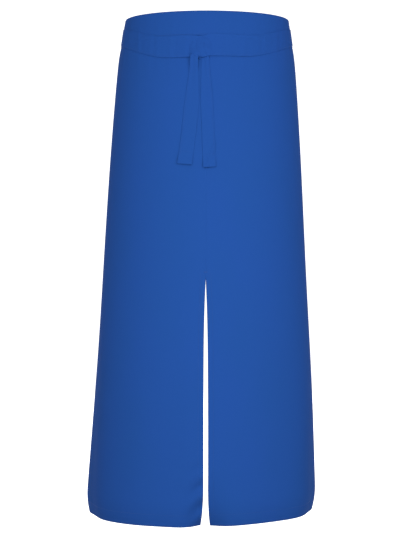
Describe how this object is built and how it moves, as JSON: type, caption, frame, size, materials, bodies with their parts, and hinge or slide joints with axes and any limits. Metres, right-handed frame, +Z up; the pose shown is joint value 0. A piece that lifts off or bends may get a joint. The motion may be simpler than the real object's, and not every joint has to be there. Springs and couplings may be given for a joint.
{
  "type": "split-leg waist apron",
  "caption": "Long cloth waist apron for welding and metal work, with a front slit that makes two legs and ties wrapped to a front knot.",
  "frame": {"origin": "middle of the waist opening, level with the top edge of the waistband", "axes": "+Z up along the wearer, +Y towards the open back, so the front with the slit and the knot faces -Y and +X is the right-hand side of someone looking at the front"},
  "size_m": [0.4634, 0.3498, 1],
  "materials": {
    "apron_cloth": "matte",
    "sewing_thread": "satin",
    "interlining": "matte"
  },
  "bodies": {
    "skirt": {"waistband_outer": "apron_cloth", "waistband_interlining": "interlining", "waistband_inner": "apron_cloth", "waistband_top_stitch": "sewing_thread", "waistband_bottom_stitch": "sewing_thread", "left_hip_panel": "apron_cloth", "right_hip_panel": "apron_cloth", "left_seam_allowance": "apron_cloth", "right_seam_allowance": "apron_cloth", "centre_seam_thread": "sewing_thread", "slit_bar_tack": "sewing_thread", "left_side_hem_upper": "apron_cloth", "right_side_hem_upper": "apron_cloth", "left_side_stitch_upper": "sewing_thread", "right_side_stitch_upper": "sewing_thread", "left_tie_band": "apron_cloth", "right_tie_band": "apron_cloth", "left_tie_bar_tack": "sewing_thread", "right_tie_bar_tack": "sewing_thread", "knot_core": "apron_cloth", "knot_wrap": "apron_cloth"},
    "left_leg": {"left_leg_panel": "apron_cloth", "left_slit_hem": "apron_cloth", "left_side_hem_lower": "apron_cloth", "left_bottom_hem": "apron_cloth", "left_slit_stitch": "sewing_thread", "left_side_stitch_lower": "sewing_thread", "left_bottom_stitch": "sewing_thread"},
    "right_leg": {"right_leg_panel": "apron_cloth", "right_slit_hem": "apron_cloth", "right_side_hem_lower": "apron_cloth", "right_bottom_hem": "apron_cloth", "right_slit_stitch": "sewing_thread", "right_side_stitch_lower": "sewing_thread", "right_bottom_stitch": "sewing_thread"},
    "left_tail": {"left_tie_tail": "apron_cloth", "left_tail_stitch": "sewing_thread"},
    "right_tail": {"right_tie_tail": "apron_cloth", "right_tail_stitch": "sewing_thread"}
  },
  "joints": [
    {"name": "left_leg_swing", "type": "hinge", "parent": "skirt", "child": "left_leg", "pos_m": [-0.205, 0.04, -0.5156], "axis": [0, 0, -1], "range_deg": [0, 22]},
    {"name": "right_leg_swing", "type": "hinge", "parent": "skirt", "child": "right_leg", "pos_m": [0.205, 0.04, -0.5156], "axis": [0, 0, 1], "range_deg": [0, 22]},
    {"name": "left_tail_lift", "type": "hinge", "parent": "skirt", "child": "left_tail", "pos_m": [-0.022, -0.132, -0.09], "axis": [-1, 0, 0], "range_deg": [0, 70]},
    {"name": "right_tail_lift", "type": "hinge", "parent": "skirt", "child": "right_tail", "pos_m": [-0.0025, -0.132, -0.09], "axis": [-1, 0, 0], "range_deg": [0, 70]}
  ]
}
